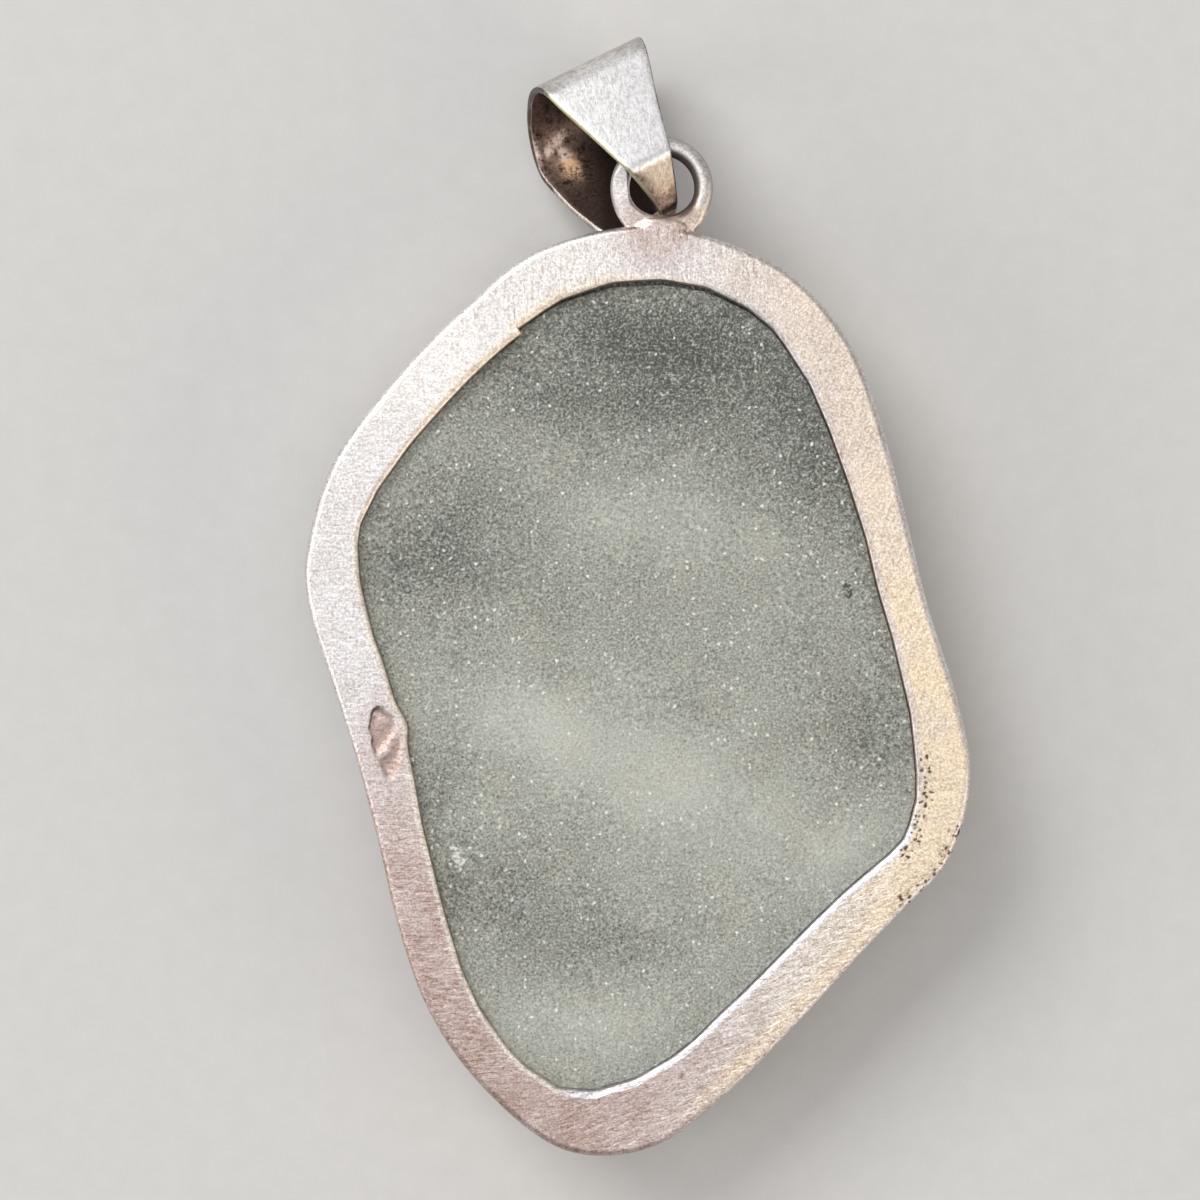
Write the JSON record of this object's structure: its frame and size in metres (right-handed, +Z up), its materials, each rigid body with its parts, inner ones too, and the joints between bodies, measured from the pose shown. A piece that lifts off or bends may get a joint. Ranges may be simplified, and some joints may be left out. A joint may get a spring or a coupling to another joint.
{
  "type": "sea glass pendant",
  "caption": "Frosted sea glass in an open-back silver bezel, lying face down, with a wire jump ring on its top edge and a folded, tapered sheet bail.",
  "frame": {"origin": "centre of the whole pendant's box in X and Y, on the surface that it lies on", "axes": "+X to the right and +Y towards the bail, both seen from the back, +Z upwards, out of the back"},
  "size_m": [0.0334, 0.0566, 0.0086],
  "materials": {
    "frosted_glass": "sea-worn, frosted grey-green glass",
    "satin_silver": "hand-sanded sterling silver with a warm tarnish",
    "bail_silver": "satin silver outside, dark tarnish inside"
  },
  "bodies": {
    "root": {"sea_glass": "frosted_glass", "setting": "satin_silver", "bail": "bail_silver"}
  },
  "joints": []
}
